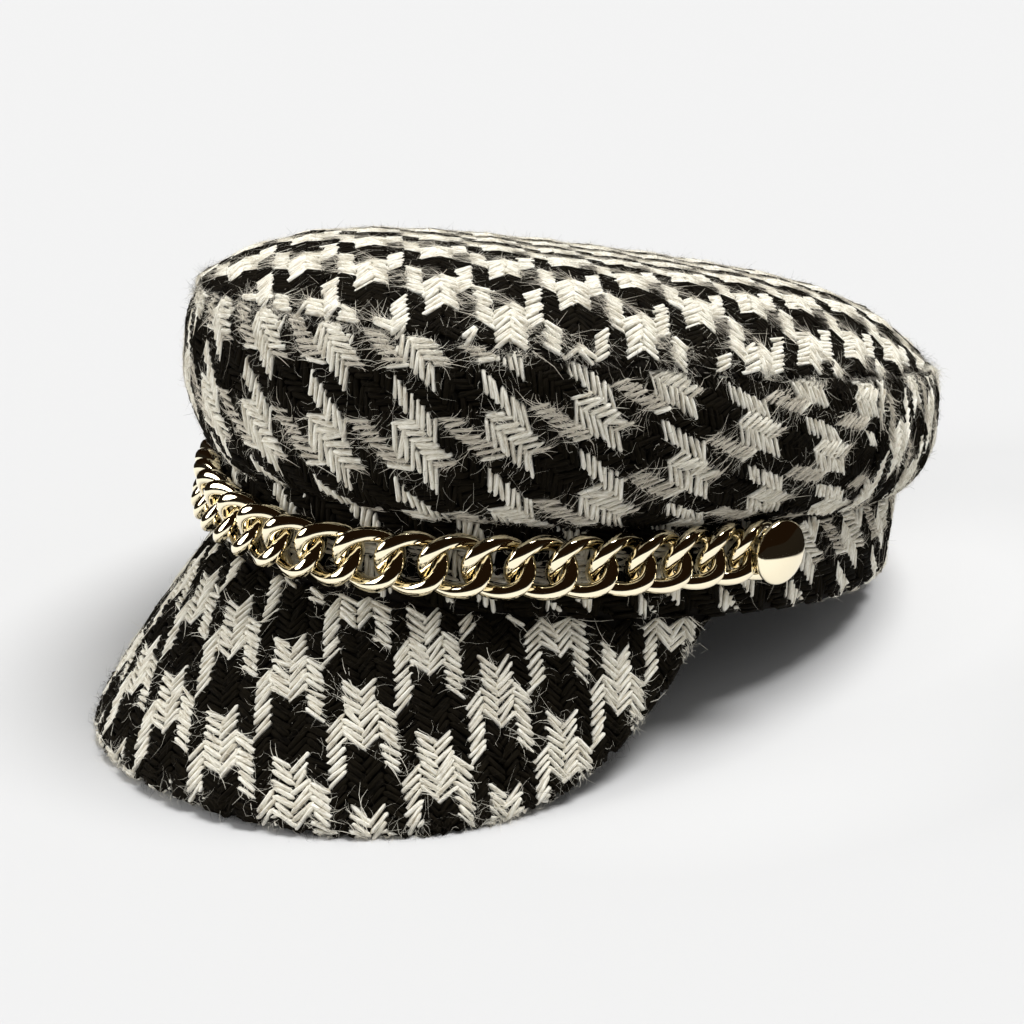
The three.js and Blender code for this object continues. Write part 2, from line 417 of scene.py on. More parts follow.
def floatMesh(panel, floats):
    i, j, isWarp, light = floats
    count, vary = len(i), weave["vary"]
    ringShape = panel["rings"][np.where(light, 0, 1)]
    rows, ring = len(floatRows), ringShape.shape[1]
    wide = np.where(light, weave["lightWide"] * panel["slim"], weave["darkWide"])
    wide = wide * rng.normal(1, vary["wide"], count)
    reach = weave["halfLong"] * rng.normal(1, vary["reach"], count)
    thick = weave["thick"] * rng.normal(1, vary["thick"], count)
    combed = light & combedLegs(panel, i, isWarp)
    wide = np.where(combed, wide * weave["combed"], wide)
    thick = np.where(combed, thick * weave["combed"], thick)
    stand = np.where(light, 0.0, weave["darkStand"]) + rng.normal(0, vary["stand"], count)
    lean = rng.normal(0, vary["lean"], count)
    bow = rng.normal(0, vary["bow"], count)
    place = floatRows[:, 0][None, :, None] * reach[:, None, None]
    size = floatRows[:, 1][None, :, None]
    off = ringShape[:, None, :, 0] * wide[:, None, None] * size
    belly = 1 - floatRows[:, 0][None, :, None] ** 2
    off = off + place * lean[:, None, None] + bow[:, None, None] * belly
    high = ringShape[:, None, :, 1] * thick[:, None, None] * size
    high = high + stand[:, None, None] - floatRows[:, 2][None, :, None]
    place, off, high = np.broadcast_arrays(place, off, high)
    warp = isWarp[:, None, None]
    wobble = rng.normal(0, vary["place"], (2, count, 1, 1))
    yarnI = i[:, None, None] + wobble[0] + np.where(warp, off, place)
    yarnJ = j[:, None, None] + wobble[1] + np.where(warp, place, -off)
    high = high + checkPillow(panel, yarnI, yarnJ)
    verts = abovePanel(panel, yarnI, yarnJ, high).reshape(-1, 3)
    first = np.arange(count)[:, None, None] * rows * ring
    quads = (first + gridFaces(rows, ring, False, True)[None]).reshape(-1, 4)
    caps = (first + endCaps(rows, ring)[None]).reshape(-1, ring)
    startAlong = rng.uniform(0, weave["grainSpread"], count)[:, None, None]
    startAcross = rng.uniform(0, weave["grainSpread"], count)[:, None, None]
    grainAlong = (place + startAlong).reshape(-1)
    grainAcross = (ringShape[:, None, :, 0] + 0 * place + startAcross).reshape(-1)
    uv = np.stack([grainAlong, grainAcross], -1)
    lightSlot = np.where(combed, clothSlot["combed cream yarn"], clothSlot["cream yarn"])
    shade = np.where(light, lightSlot, clothSlot["black yarn"])
    return verts, quads, caps, uv, np.repeat(shade, (rows - 1) * ring), np.repeat(shade, 2)


# A mesh object from several lists of faces, each list with its own count of corners
def meshObject(name, verts, faceLists, slots, slotMaterials, uv=None):
    mesh = bpy.data.meshes.new(name)
    corners = np.concatenate([f.reshape(-1) for f in faceLists]).astype(np.int32)
    sizes = np.concatenate([np.full(len(f), f.shape[1]) for f in faceLists])
    starts = np.concatenate([[0], np.cumsum(sizes)[:-1]]).astype(np.int32)
    mesh.vertices.add(len(verts))
    mesh.vertices.foreach_set("co", np.ascontiguousarray(verts, np.float32).ravel())
    mesh.loops.add(len(corners))
    mesh.loops.foreach_set("vertex_index", corners)
    mesh.polygons.add(len(sizes))
    mesh.polygons.foreach_set("loop_start", starts)
    mesh.polygons.foreach_set("material_index", np.concatenate(slots).astype(np.int32))
    mesh.polygons.foreach_set("use_smooth", np.full(len(sizes), True))
    if uv is not None:
        layer = mesh.uv_layers.new(name="yarn")
        layer.data.foreach_set("uv", uv[corners].astype(np.float32).ravel())
    for material in slotMaterials:
        mesh.materials.append(material)
    mesh.update(calc_edges=True)
    mesh.validate()
    piece = bpy.data.objects.new(name, mesh)
    bpy.context.scene.collection.objects.link(piece)
    return piece


# Shader groups shared by the yarns
def newGroup(name, inputs, outputs):
    group = bpy.data.node_groups.new(name, "ShaderNodeTree")
    for label, kind, value in inputs:
        socket = group.interface.new_socket(name=label, in_out="INPUT", socket_type=kind)
        socket.default_value = value
    for label, kind in outputs:
        group.interface.new_socket(name=label, in_out="OUTPUT", socket_type=kind)
    return group, group.nodes.new("NodeGroupInput"), group.nodes.new("NodeGroupOutput")


def colourMix(nodes):
    mix = nodes.new("ShaderNodeMix")
    mix.data_type = "RGBA"
    return mix


def mathNode(nodes, operation):
    node = nodes.new("ShaderNodeMath")
    node.operation = operation
    return node


# Streaks along each yarn, and slower changes of tone from yarn to yarn
streaks = {
    "stretch": (0.5, 1.9, 1),
    "turnDeg": 9,
    "detail": 2.0,
    "roughness": 0.62,
    "toneScale": 0.12,
    "strandShare": 0.75,
    "toneShare": 0.35,
    "from": 0.40,
    "to": 0.62,
    "depth": 0.0006,
}


def yarnGroup():
    group, given, result = newGroup(
        "Yarn strands",
        [("Light", "NodeSocketColor", (0.8, 0.76, 0.66, 1)),
         ("Shade", "NodeSocketColor", (0.5, 0.46, 0.38, 1)),
         ("Relief", "NodeSocketFloat", 0.5)],
        [("Color", "NodeSocketColor"), ("Normal", "NodeSocketVector")])
    nodes, link = group.nodes, group.links.new
    spot = nodes.new("ShaderNodeUVMap")
    spot.uv_map = "yarn"
    squeeze = nodes.new("ShaderNodeMapping")
    squeeze.inputs["Scale"].default_value = streaks["stretch"]
    squeeze.inputs["Rotation"].default_value = (0, 0, math.radians(streaks["turnDeg"]))
    link(spot.outputs["UV"], squeeze.inputs["Vector"])
    strand = nodes.new("ShaderNodeTexNoise")
    strand.inputs["Scale"].default_value = 1.0
    strand.inputs["Detail"].default_value = streaks["detail"]
    strand.inputs["Roughness"].default_value = streaks["roughness"]
    link(squeeze.outputs["Vector"], strand.inputs["Vector"])
    tone = nodes.new("ShaderNodeTexNoise")
    tone.inputs["Scale"].default_value = streaks["toneScale"]
    tone.inputs["Detail"].default_value = streaks["detail"]
    link(spot.outputs["UV"], tone.inputs["Vector"])
    slow = mathNode(nodes, "MULTIPLY")
    link(tone.outputs["Fac"], slow.inputs[0])
    slow.inputs[1].default_value = streaks["toneShare"]
    blend = mathNode(nodes, "MULTIPLY_ADD")
    link(strand.outputs["Fac"], blend.inputs[0])
    blend.inputs[1].default_value = streaks["strandShare"]
    link(slow.outputs["Value"], blend.inputs[2])
    spread = nodes.new("ShaderNodeMapRange")
    spread.inputs["From Min"].default_value = streaks["from"]
    spread.inputs["From Max"].default_value = streaks["to"]
    link(blend.outputs["Value"], spread.inputs["Value"])
    mix = colourMix(nodes)
    link(spread.outputs["Result"], mix.inputs["Factor"])
    link(given.outputs["Shade"], mix.inputs["A"])
    link(given.outputs["Light"], mix.inputs["B"])
    link(mix.outputs["Result"], result.inputs["Color"])
    bump = nodes.new("ShaderNodeBump")
    bump.inputs["Distance"].default_value = streaks["depth"]
    link(given.outputs["Relief"], bump.inputs["Strength"])
    link(strand.outputs["Fac"], bump.inputs["Height"])
    link(bump.outputs["Normal"], result.inputs["Normal"])
    return group


yarnStrands = yarnGroup()


def yarnMaterial(name, light, shade, relief, roughness, specular):
    material = bpy.data.materials.new(name)
    material.use_nodes = True
    nodes, link = material.node_tree.nodes, material.node_tree.links.new
    shader = nodes["Principled BSDF"]
    strands = nodes.new("ShaderNodeGroup")
    strands.node_tree = yarnStrands
    strands.inputs["Light"].default_value = (*light, 1)
    strands.inputs["Shade"].default_value = (*shade, 1)
    strands.inputs["Relief"].default_value = relief
    link(strands.outputs["Color"], shader.inputs["Base Color"])
    link(strands.outputs["Normal"], shader.inputs["Normal"])
    shader.inputs["Roughness"].default_value = roughness
    shader.inputs["Specular IOR Level"].default_value = specular
    return material


def plainMaterial(name, colour, roughness, metallic=0.0, specular=0.5):
    material = bpy.data.materials.new(name)
    material.use_nodes = True
    shader = material.node_tree.nodes["Principled BSDF"]
    shader.inputs["Base Color"].default_value = (*colour, 1)
    shader.inputs["Roughness"].default_value = roughness
    shader.inputs["Metallic"].default_value = metallic
    shader.inputs["Specular IOR Level"].default_value = specular
    return material


yarnFinishes = {
    "cream yarn": {"light": (0.97, 0.945, 0.845), "shade": (0.56, 0.50, 0.385),
                   "relief": 0.55, "roughness": 0.85, "specular": 0.04},
    "black yarn": {"light": (0.0085, 0.0065, 0.0035), "shade": (0.0016, 0.0012, 0.0007),
                   "relief": 0.6, "roughness": 0.8, "specular": 0.04},
    "combed cream yarn": {"light": (0.83, 0.78, 0.67), "shade": (0.40, 0.35, 0.27),
                          "relief": 0.55, "roughness": 0.85, "specular": 0.04},
}
plainFinishes = {
    # near black backing: partly the black yarn's own colour, partly painted shade in the gaps between
    # floats, under the light checks too
    "backing and gap shade": {"colour": (0.008, 0.0065, 0.005), "roughness": 0.95, "specular": 0.1},
    "cream fibre": {"colour": (0.80, 0.76, 0.65), "roughness": 0.8, "specular": 0.2},
    "dull cream fibre": {"colour": (0.64, 0.59, 0.49), "roughness": 0.8, "specular": 0.2},
    "dark fibre": {"colour": (0.022, 0.017, 0.011), "roughness": 0.8, "specular": 0.2},
    "polished gold": {"colour": (1.0, 0.90, 0.67), "roughness": 0.06, "metallic": 1.0},
}
materials = {name: yarnMaterial(name, **finish) for name, finish in yarnFinishes.items()}
materials |= {name: plainMaterial(name, **finish) for name, finish in plainFinishes.items()}
clothNames = ["backing and gap shade", "cream yarn", "black yarn", "cream fibre", "dark fibre",
              "combed cream yarn", "dull cream fibre"]
clothSlot = {name: k for k, name in enumerate(clothNames)}
print("materials:", len(materials))


# Loose fibres as narrow ribbons, lengths in yarn spacings, lift, base and wide in millimetres
fuzz = {
    "strand": {"from": -0.9, "to": 0.35, "long": 3.0, "spread": 0.13,
               "curl": 0.28, "lift": 0.26, "wide": 0.075},
    "wisp": {"from": -0.3, "to": 0.8, "long": 2.5, "spread": 0.25,
             "curl": 0.75, "lift": 0.30, "wide": 0.024},
    "veil": {"from": 0.15, "to": 0.95, "long": 3.2, "spread": 0.2,
             "curl": 0.5, "lift": 0.35, "wide": 0.06},
    "loose": {"long": 2.0, "curl": 0.9, "lift": 0.8, "wide": 0.025},
    "rim": {"long": 1.9, "curl": 1.0, "lift": 1.2, "wide": 0.027},
    "clump": 0.16,  # how far the fibres of one float bend together
    "clumpCurl": 1.5,
    "straying": 0.05,  # share of light fibres over the dark floats
    "veilReach": 3.5,  # veils leave a light float where this many yarns on it is dark
    "aside": 0.42,
    "scatter": 2,
    "lengths": (4.0, 0.25),  # gamma shape and scale
    "lifts": (2.0, 0.5),
    "base": 0.48,
    "arch": 0.5,
    "twist": 0.5,
    "taper": 0.75,
}


# Start, heading, length, lift, width, curl and shade of a group of fibres
def fibreGroup(name, floats, pick, clump, combed):
    i, j, isWarp, light = floats
    form, count = fuzz[name], len(pick)
    if "spread" in form:
        end = np.where(rng.random(count) < 0.5, -1.0, 1.0)
        if name == "veil":
            end = np.where(overDark(i[pick] + end * fuzz["veilReach"]), end, -end)
        back = end * weave["halfLong"] * rng.uniform(form["from"], form["to"], count)
        aside = rng.uniform(-fuzz["aside"], fuzz["aside"], count)
        heading = np.where(isWarp[pick], math.pi / 2, 0) + np.where(end < 0, math.pi, 0)
        heading = heading + clump[pick] + rng.normal(0, form["spread"], count)
        dull = combed[pick] | (name == "veil")
        shade = np.where(dull, clothSlot["dull cream fibre"], clothSlot["cream fibre"])
    else:
        back, aside = rng.uniform(-fuzz["scatter"], fuzz["scatter"], (2, count))
        heading = rng.uniform(0, 2 * math.pi, count)
        pale = light[pick] | (rng.random(count) < fuzz["straying"])
        shade = np.where(pale, clothSlot["cream fibre"], clothSlot["dark fibre"])
    startI = i[pick] + np.where(isWarp[pick], aside, back)
    startJ = j[pick] + np.where(isWarp[pick], back, aside)
    length = form["long"] * rng.gamma(*fuzz["lengths"], count)
    lift = form["lift"] * rng.gamma(*fuzz["lifts"], count)
    curl = rng.normal(0, form["curl"], count) + clump[pick] * fuzz["clumpCurl"]
    return np.stack([startI, startJ, heading, length, lift, np.full(count, form["wide"]), curl, shade])


def fibreMesh(panel, floats, firstVert):
    i, j, isWarp, light = floats
    combed = combedLegs(panel, i, isWarp)
    weft, warp = np.flatnonzero(light & ~isWarp), np.flatnonzero(light & isWarp)
    legs, cores = np.flatnonzero(light & combed), np.flatnonzero(light & ~isWarp & ~combed)
    byDark = weft[overDark(i[weft] - fuzz["veilReach"]) | overDark(i[weft] + fuzz["veilReach"])]
    onWeft, onWarp = panel["wisps"]
    onLeg, onCore = panel["strands"]
    picks = {
        "strand": np.concatenate([np.repeat(legs, onLeg), np.repeat(cores, onCore)]),
        "wisp": np.concatenate([np.repeat(weft, onWeft), np.repeat(warp, onWarp)]),
        "veil": np.repeat(byDark, panel["veils"]),
        "loose": rng.integers(0, len(i), panel["fuzz"]),
    }
    if "rim" in panel:
        edge = np.flatnonzero(panel["rim"](*yarnSpot(panel["grain"], i, j)))
        picks["rim"] = edge[rng.integers(0, len(edge), panel["rimFuzz"])]
    clump = rng.normal(0, fuzz["clump"], len(i))
    groups = [fibreGroup(name, floats, pick, clump, combed) for name, pick in picks.items()]
    startI, startJ, heading, length, lift, wide, curl, shade = np.concatenate(groups, 1)[:, :, None]
    count, steps = len(startI), panel["bends"]
    t = np.linspace(0, 1, steps)[None, :]
    bearing = heading + curl * t
    yarnI = startI + np.cos(bearing) * length * t
    yarnJ = startJ + np.sin(bearing) * length * t
    arch = fuzz["arch"]
    high = fuzz["base"] + checkPillow(panel, yarnI, yarnJ) + lift * ((1 + arch) * t - arch * t ** 2)
    line = abovePanel(panel, yarnI, yarnJ, high)
    twist = rng.normal(0, fuzz["twist"], (count, 1, 3))
    facing = abovePanel(panel, yarnI, yarnJ, high + 1) - line + twist
    across = unit(np.cross(np.gradient(line, axis=1), facing))
    width = (wide * (1 - fuzz["taper"] * t ** 2))[..., None]
    verts = np.stack([line - across * width, line + across * width], 2).reshape(-1, 3)
    quads = np.array([[2 * k, 2 * k + 1, 2 * k + 3, 2 * k + 2] for k in range(steps - 1)])
    quads = (np.arange(count)[:, None, None] * 2 * steps + quads[None]).reshape(-1, 4) + firstVert
    return verts, quads, np.repeat(shade[:, 0], steps - 1)


# One cloth piece: backing shell, floats and loose fibres of its panels in one mesh
def clothPiece(node, panels, shell, shellFaces):
    points, faceLists = [shell], list(shellFaces)
    slots = [np.full(len(f), clothSlot["backing and gap shade"]) for f in shellFaces]
    spots = [np.zeros((len(shell), 2))]
    count = len(shell)
    for panel in panels:
        floats = twillFloats(panel)
        verts, quads, caps, uv, quadShade, capShade = floatMesh(panel, floats)
        fibreVerts, fibreQuads, fibreShade = fibreMesh(panel, floats, count + len(verts))
        points += [verts, fibreVerts]
        faceLists += [quads + count, caps + count, fibreQuads]
        slots += [quadShade, capShade, fibreShade]
        spots += [uv, np.zeros((len(fibreVerts), 2))]
        count += len(verts) + len(fibreVerts)
    allVerts = toRow(np.concatenate(points))
    allVerts[:, 2] = np.maximum(allVerts[:, 2], floorClear)
    clothMaterials = [materials[name] for name in clothNames]
    piece = meshObject(node + "_tweed", allVerts, faceLists, slots, clothMaterials, np.concatenate(spots))
    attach(piece, "root")
    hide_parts(node)
    print(node, sum(len(f) * (f.shape[1] - 2) for f in faceLists), "triangles")


# Backing shells, set in from the face
def turnedShell(section, place, angles, closed):
    a, s = np.meshgrid(angles, np.arange(len(section)), indexing="ij")
    pts = place(a, section[:, 0][s], section[:, 1][s])
    rows, cols = pts.shape[:2]
    faces = [gridFaces(rows, cols, closed, True)]
    if not closed:
        faces.append(endCaps(rows, cols))
    return pts.reshape(-1, 3), faces


def insetLoop(line, wall, sink, spare=0.0, spareIn=0.3, every=4):
    heading = np.gradient(line, axis=0)
    heading /= np.hypot(heading[:, 0], heading[:, 1])[:, None]
    normal = np.stack([heading[:, 1], -heading[:, 0]], -1)
    face = (line - normal * sink)[::every]
    back = (line - normal * wall)[::-every]
    # spare cloth past the upper edge goes up inside the next piece
    if spare:
        rise = np.array([[0, spare]])
        return np.concatenate([face, face[-1:] - np.array([[spareIn, 0]]) + rise, back[:1] + rise, back])
    return np.concatenate([face, back])


# Grain of each panel in its flat pattern, in millimetres: one repeat across and along,
# the middle of a tooth, and the radius of a curved pattern
grains = {
    "top": {"across": (19.27, 0.2), "along": (0.31, 23.95), "tooth": (-17.42, -93.6)},
    "sideFront": {"across": (21.36, 0.56), "along": (-0.31, 19.65), "tooth": (-10.4, 13.1),
                  "radius": 235.0},
    "sideBack": {"across": (21.36, 0.0), "along": (0.0, 19.65), "tooth": (0.0, 12.0),
                 "radius": 235.0, "shift": girth / 2},
    "band": {"across": (23.5, 1.19), "along": (-1.2, 22.0), "tooth": (158.5, 16.0)},
    "peak": {"across": (19.2, 5.22), "along": (6.8, -21.38), "tooth": (-9.77, 16.89),
             "radius": 150.0, "step": 1},
}
rollOver = 1.6  # how far the yarns follow a cloth's edge inwards

sidePanel = {
    "yarns": 160,
    "combed": True,
    "pillow": (0.35, 0.5),  # swell of the light and the dark checks
    "slim": 0.87,
    "rings": roundRings,
    "bends": 4,
    "strands": (10, 5),  # on each combed leg and each other weft float
    "wisps": (5, 3),  # on each weft and each warp float
    "veils": 0,
    "fuzz": 2600,
    "rimFuzz": 2400,
}
sideEdge = {"gap": 0.15, "floats": 0.3, "limit": 0.2, "rim": 2.5, "steps": 100}


def buildSides():
    loop = insetLoop(sideLine, capShape["clothWall"], weave["backing"])
    quarter = np.interp(0.0, arcAngles, sideArc)
    threeQuarter = np.interp(-math.pi, arcAngles, sideArc)
    gap = sideEdge["gap"] / capShape["halfWidth"]
    parts = {
        "crown_side_front": ("sideFront", threeQuarter, quarter, -math.pi),
        "crown_side_back": ("sideBack", quarter, quarter + girth / 2, 0.0),
    }
    for node, (grain, low, high, start) in parts.items():
        def inside(u, v, low=low, high=high):
            between = (u > low + sideEdge["floats"]) & (u < high - sideEdge["floats"])
            return between & (v > -rollOver) & (v < sideReach + rollOver)

        def limit(u, v, low=low, high=high):
            return np.clip(u, low + sideEdge["limit"], high - sideEdge["limit"]), v

        def cloth(u, v):
            return sideCloth(np.where(u > sideArc[-1], u - girth, u), v)

        def rim(u, v):
            return v > sideReach - sideEdge["rim"]

        panel = sidePanel | {"grain": grains[grain], "cloth": cloth, "inside": inside,
                             "limit": limit, "rim": rim}
        angles = np.linspace(start + gap, start + math.pi - gap, sideEdge["steps"])
        clothPiece(node, [panel], *turnedShell(loop, sidePlace, angles, False))


bandPanel = {
    "yarns": 400,
    "combed": True,
    "pillow": (0.1, 0.2),
    "slim": 0.87,
    "rings": roundRings,
    "bends": 4,
    "strands": (6, 2),
    "wisps": (3, 2),
    "veils": 0,
    "fuzz": 1200,
}
bandEdge = {"under": 0.6, "spare": 2.4, "steps": 200}


def buildBand():
    loop = insetLoop(bandLine, capShape["bandWall"], weave["backing"], bandEdge["spare"])
    low, high = bandArc[0], bandArc[-1]

    def inside(u, v):
        return (u > low) & (u <= high) & (v > -rollOver - bandEdge["under"]) & (v < bandReach + rollOver)

    def limit(u, v):
        return u, v

    def cloth(u, v):
        return bandCloth(low + np.mod(u - low, high - low), v)

    panel = bandPanel | {"grain": grains["band"], "cloth": cloth, "inside": inside, "limit": limit}
    angles = np.linspace(0, 2 * math.pi, bandEdge["steps"], endpoint=False)
    clothPiece("band", [panel], *turnedShell(loop, bandPlace, angles, True))


topPanel = {
    "yarns": 220,
    "combed": False,
    "pillow": (0.75, 0.55),
    "slim": 1.0,
    "rings": plainRings,
    "bends": 2,
    "strands": (0, 3),
    "wisps": (5, 2),
    "veils": 9,
    "fuzz": 7600,
    "rimFuzz": 3200,
}
topShell = {
    "turns": 120,
    "reaches": [0.2, 0.4, 0.56, 0.68, 0.78, 0.86, 0.92, 0.96, 0.985, 1.0],
    "round": 0.006,
    "roundFrom": 0.9,
    "inner": 0.972,
    "thin": 0.55,  # the wall thins towards the seam
    "thinPower": 6,
}


def buildTop():
    a, b = topHalf

    def edgeShare(u, v):
        radius = topBearing(u, v)[1]
        return np.hypot(u, v) / (radius + topSteep ** 2 / (2 * topOrder * radius) + topEdge["past"])

    def inside(u, v):
        return edgeShare(u, v) < topEdge["floats"]

    def rim(u, v):
        return edgeShare(u, v) > topEdge["rim"]

    def limit(u, v):
        share = np.maximum(edgeShare(u, v), 1.0)
        return u / share, v / share

    turns = np.linspace(0, 2 * math.pi, topShell["turns"], endpoint=False)
    t, r = np.meshgrid(turns, np.array(topShell["reaches"]), indexing="ij")
    z = capShape["seamHeight"] + capShape["rise"] * (1 - r ** capShape["shoulder"])
    edge = topShell["round"] * smoothStep(r, topShell["roundFrom"], 1.0)
    outer = leanCrown(a * np.cos(t) * (r - edge), b * np.sin(t) * (r - edge), z - weave["backing"])
    lower = z - capShape["clothWall"] * (1 - topShell["thin"] * r ** topShell["thinPower"])
    inner = leanCrown(a * np.cos(t) * r * topShell["inner"], b * np.sin(t) * r * topShell["inner"], lower)
    pts = np.concatenate([outer, inner[:, ::-1]], 1)
    crest = capShape["seamHeight"] + capShape["rise"]
    apexTop = [0, 0, crest - weave["backing"]]
    apexLow = [0, 0, crest - capShape["clothWall"]]
    shell = np.concatenate([pts.reshape(-1, 3), leanCrown(*np.array([apexTop, apexLow]).T)])
    rows, cols = pts.shape[:2]
    body = gridFaces(rows, cols, True, False)
    capTop = fanFaces(rows, cols, 0, len(shell) - 2, False)
    capLow = fanFaces(rows, cols, cols - 1, len(shell) - 1, True)
    panel = topPanel | {"grain": grains["top"], "cloth": topCloth, "inside": inside,
                        "limit": limit, "rim": rim}
    clothPiece("crown_top", [panel], shell, [body[:, ::-1], capTop, capLow])


peakPanel = {
    "yarns": 160,
    "facing": -1.0,
    "combed": False,
    "pillow": (0.3, 0.35),
    "slim": 0.88,
    "bends": 4,
    "veils": 0,
}
peakFace = {"rings": roundRings, "strands": (0, 4), "wisps": (3, 1), "fuzz": 1500, "rimFuzz": 1800}
peakBack = {"rings": plainRings, "strands": (0, 0), "wisps": (1, 0), "fuzz": 500}
peakEdge = {
    "floats": 0.995,  # share of the half span
    "limit": 0.998,
    "start": 0.2,
    "turn": 2.0,  # past the edge, where the underside's floats begin
    "end": 1.5,
    "rimMiddle": 0.5,
    "rimHalf": 3.2,
    "above": 2.0,  # the shell starts above the seam, tucked up behind the band's face
    "sink": 0.8,
    "steps": (121, 40),
}


def buildPeak():
    most = np.interp(math.radians(peakShape["spanDeg"] - 90), arcAngles, peakArc)

    def sideOf(u):
        return np.clip((np.degrees(np.interp(u, peakArc, arcAngles)) + 90) / peakShape["spanDeg"], -1, 1)

    def between(u):
        return np.abs(u) < most * peakEdge["floats"]

    def upper(u, v):
        return between(u) & (v > peakEdge["start"]) & (v < peakFall(sideOf(u)) + peakEdge["turn"])

    def under(u, v):
        fall = peakFall(sideOf(u))
        return between(u) & (v >= fall + peakEdge["turn"]) & (v < 2 * fall + peakEdge["end"])

    def rim(u, v):
        return np.abs(v - peakFall(sideOf(u)) - peakEdge["rimMiddle"]) < peakEdge["rimHalf"]

    def limit(u, v):
        u = np.clip(u, -most * peakEdge["limit"], most * peakEdge["limit"])
        return u, np.clip(v, 0, 2 * peakFall(sideOf(u)) + peakEdge["end"])

    def cloth(u, v):
        return peakSurface(sideOf(u), v)

    rows, cols = peakEdge["steps"]
    s, k = np.meshgrid(np.linspace(-1, 1, rows), np.linspace(0, 1, cols), indexing="ij")
    above, wall = peakEdge["above"], peakShape["wall"]
    run = -above + k * (above + 2 * (peakFall(s) - wall / 2) + math.pi * wall / 2)
    runStep, sideStep = 0.02, 1e-3
    down = peakSurface(s, run + runStep) - peakSurface(s, run - runStep)
    ahead, behind = np.clip(s + sideStep, -1, 1), np.clip(s - sideStep, -1, 1)
    along = peakSurface(ahead, run) - peakSurface(behind, run)
    normal = unit(np.cross(down, along))
    shell = (peakSurface(s, run) - normal * weave["backing"] * peakEdge["sink"]).reshape(-1, 3)
    shared = peakPanel | {"grain": grains["peak"], "cloth": cloth, "limit": limit}
    face = shared | peakFace | {"inside": upper, "rim": rim}
    back = shared | peakBack | {"inside": under}
    clothPiece("peak", [face, back], shell, [gridFaces(rows, cols, False, True), endCaps(rows, cols)])


buildTop()
buildSides()
buildBand()
buildPeak()

# Chain over the front of the band
chain = {
    "links": 25,
    "wire": 3.3,
    "broad": 3.65,  # the wire's breadth in the plane of a link
    "square": 2.5,  # 2 is a round wire
    "width": 15.2,
    "weaveHalf": 1.95,
    "play": 0.36,
    "gap": 0.3,
    "middle": 8.8,
    "power": 1.2,
    "steps": 56,
    "sides": 16,
}
button = {
    "angleDeg": -16.0,
    "height": 17.0,
    "shank": 1.5,
    "radii": [0.0, 1.5, 1.5, 6.9, 7.5, 7.9, 8.0, 7.9, 7.5, 6.6, 5.0, 3.0, 1.2, 0.0],
    "alongs": [0.3, 0.3, 7.6, 7.6, 7.75, 8.1, 8.6, 9.05, 9.45, 9.85, 10.4, 10.9, 11.15, 11.2],
    "sides": 72,
}


def onBand(angle, out, height):
    nx, ny = outward(angle)
    x, y = outline(angle, 0.0)
    axes = np.array([[-ny, 0, nx], [nx, 0, ny], [0, 1, 0]])
    return axes, np.array([x + nx * out, y + ny * out, height])


def goldPiece(node, points, faceLists):
    slots = [np.zeros(len(f)) for f in faceLists]
    piece = meshObject(node + "_gold", toRow(points), faceLists, slots, [materials["polished gold"]])
    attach(piece, "root")
    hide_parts(node)


def chainHeight(part):
    return chain["middle"] + (button["height"] - chain["middle"]) * abs(part) ** chain["power"]


def wireLoop(halfLong, halfWide, steps, sides):
    weaveHalf, square = chain["weaveHalf"], chain["square"]
    t = np.linspace(0, 2 * math.pi, steps, endpoint=False)
    line = np.stack([halfLong * np.cos(t), halfWide * np.sin(t), -weaveHalf * np.sin(2 * t)], -1)
    run = np.stack([-halfLong * np.sin(t), halfWide * np.cos(t), -2 * weaveHalf * np.cos(2 * t)], -1)
    run = unit(run)
    out = np.stack([np.cos(t), np.sin(t), np.zeros(steps)], -1)
    out = unit(out - run * (out * run).sum(-1, keepdims=True))
    up = np.cross(run, out)
    a = np.linspace(0, 2 * math.pi, sides, endpoint=False)
    full = (np.abs(np.cos(a)) ** square + np.abs(np.sin(a)) ** square) ** (-1 / square)
    breadth = (full * np.cos(a) * chain["broad"] / 2)[None, :, None]
    height = (full * np.sin(a) * chain["wire"] / 2)[None, :, None]
    return (line[:, None] + out[:, None] * breadth + up[:, None] * height).reshape(-1, 3)


def buildChain():
    out = chain["weaveHalf"] + chain["wire"] / 2 + chain["gap"]
    arc = arcTable(out)
    ends = np.interp(np.radians([-180 - button["angleDeg"], button["angleDeg"]]), arcAngles, arc)
    length = ends[1] - ends[0]
    pitch = length / chain["links"]

    # the end links hook round the shanks
    def hookAt(pitch):
        return (pitch + chain["play"]) / 2 - button["shank"] - chain["gap"]

    for _ in range(8):
        pitch = (length - 2 * hookAt(pitch)) / (chain["links"] - 1)
    halfLong = (pitch + chain["broad"] + chain["play"]) / 2
    halfWide = (chain["width"] - chain["broad"]) / 2
    shape = wireLoop(halfLong, halfWide, chain["steps"], chain["sides"])
    faces = gridFaces(chain["steps"], chain["sides"], True, True)
    near = 0.01
    for k in range(chain["links"]):
        run = hookAt(pitch) + k * pitch
        angle = np.interp(ends[0] + run, arc, arcAngles)
        part = 2 * run / length - 1
        slope = math.atan((chainHeight(part + near) - chainHeight(part - near)) / (near * length))
        turn = np.array([[math.cos(slope), -math.sin(slope), 0],
                         [math.sin(slope), math.cos(slope), 0],
                         [0, 0, 1]])
        axes, place = onBand(angle, out, chainHeight(part))
        goldPiece(f"chain_link_{k + 1:02d}", shape @ (axes @ turn).T + place, [faces])
    print("chain:", chain["links"], "links, pitch", round(pitch, 2))


